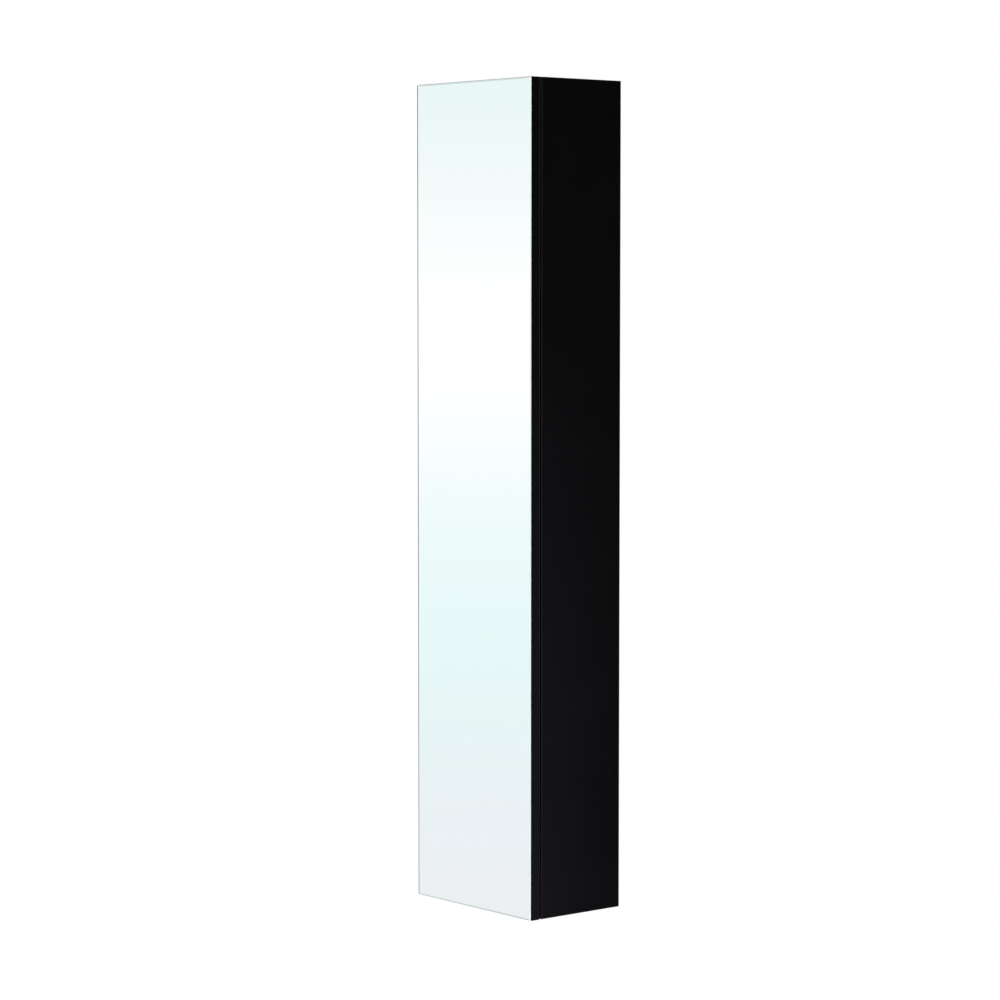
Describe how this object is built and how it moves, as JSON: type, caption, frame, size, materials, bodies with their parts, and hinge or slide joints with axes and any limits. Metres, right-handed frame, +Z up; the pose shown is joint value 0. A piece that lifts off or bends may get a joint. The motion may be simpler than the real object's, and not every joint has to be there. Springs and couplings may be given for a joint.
{
  "type": "mirrored linen cabinet",
  "caption": "Tall slim wall cabinet with a full-height mirrored door on concealed hinges, glass shelves inside, a push latch and wall hangers.",
  "frame": {"origin": "middle of the underside, halfway between the mirror's face and the wall plane", "axes": "+Z up, -Y out of the mirror, +Y into the wall, +X to the right of someone who faces the mirror"},
  "size_m": [0.3, 0.2, 1.4],
  "materials": {
    "black_lacquer": "fibreboard under smooth black satin lacquer, with no grain",
    "black_board": "thin fibreboard under matt black lacquer, with no grain",
    "mirror": "silvered glass",
    "shelf_glass": "clear toughened glass",
    "nickel": "nickel-plated steel",
    "steel_pin": "bright steel",
    "zinc": "zinc die casting",
    "screw_steel": "zinc-plated steel",
    "beech": "raw beech",
    "clear_pad": "clear soft plastic",
    "black_plastic": "moulded plastic",
    "white_tape": "foam mounting tape",
    "magnet": "nickel-plated magnet"
  },
  "bodies": {
    "carcass": {"left_side_panel": "black_lacquer", "right_side_panel": "black_lacquer", "top_panel": "black_lacquer", "bottom_panel": "black_lacquer", "fixed_shelf": "black_lacquer", "back_panel": "black_board", "stiffener": "black_lacquer", "glass_shelf_1": "shelf_glass", "glass_shelf_2": "shelf_glass", "glass_shelf_3": "shelf_glass", "glass_shelf_4": "shelf_glass", "shelf_supports_1": "nickel", "shelf_supports_2": "nickel", "shelf_supports_3": "nickel", "shelf_supports_4": "nickel", "support_pads": "clear_pad", "cam_locks": "zinc", "cam_bolts": "zinc", "wood_dowels": "beech", "cam_covers": "black_plastic", "hinge_plate_1": "nickel", "hinge_plate_2": "nickel", "hinge_plate_3": "nickel", "hinge_arm_1": "nickel", "hinge_arm_2": "nickel", "hinge_arm_3": "nickel", "arm_pins": "steel_pin", "hinge_plate_screws": "screw_steel", "hinge_arm_screws": "screw_steel", "latch_housing": "black_plastic", "latch_screws": "screw_steel", "left_hanger": "zinc", "right_hanger": "zinc", "left_hook": "nickel", "right_hook": "nickel", "left_wall_plate": "nickel", "right_wall_plate": "nickel", "hanger_screws": "screw_steel", "hanger_caps": "black_plastic"},
    "long_links": {"long_link_1": "nickel", "long_link_2": "nickel", "long_link_3": "nickel"},
    "door": {"door_panel": "black_lacquer", "mirror_glass": "mirror", "mirror_tape": "white_tape", "door_bumpers": "clear_pad", "catch_plate": "nickel", "catch_screw": "screw_steel", "hinge_cup_1": "nickel", "hinge_cup_2": "nickel", "hinge_cup_3": "nickel", "cup_pins": "steel_pin", "hinge_cup_screws": "screw_steel"},
    "short_links": {"short_link_1": "nickel", "short_link_2": "nickel", "short_link_3": "nickel"},
    "plunger": {"latch_plunger": "black_plastic", "latch_magnet": "magnet"}
  },
  "joints": [
    {"name": "long_link_turn", "type": "hinge", "parent": "carcass", "child": "long_links", "pos_m": [-0.1112, -0.0598, 0.7], "axis": [0, 0, 1], "range_deg": [0, 22.8]},
    {"name": "door_swing", "type": "hinge", "parent": "long_links", "child": "door", "pos_m": [-0.1388, -0.0802, 0.7], "axis": [0, 0, -1], "range_deg": [0, 117.8]},
    {"name": "short_link_turn", "type": "hinge", "parent": "carcass", "child": "short_links", "pos_m": [-0.1156, -0.085, 0.7], "axis": [0, 0, 1], "range_deg": [0, 35.15]},
    {"name": "latch_push", "type": "slide", "parent": "carcass", "child": "plunger", "axis": [0, 1, 0], "range_m": [0, 0.0025], "stiffness_N_per_m": 1500}
  ],
  "couplings": [
    {"joint": "long_link_turn", "follows": "door_swing", "ratio": 0.19355},
    {"joint": "short_link_turn", "follows": "door_swing", "ratio": 0.29839}
  ]
}
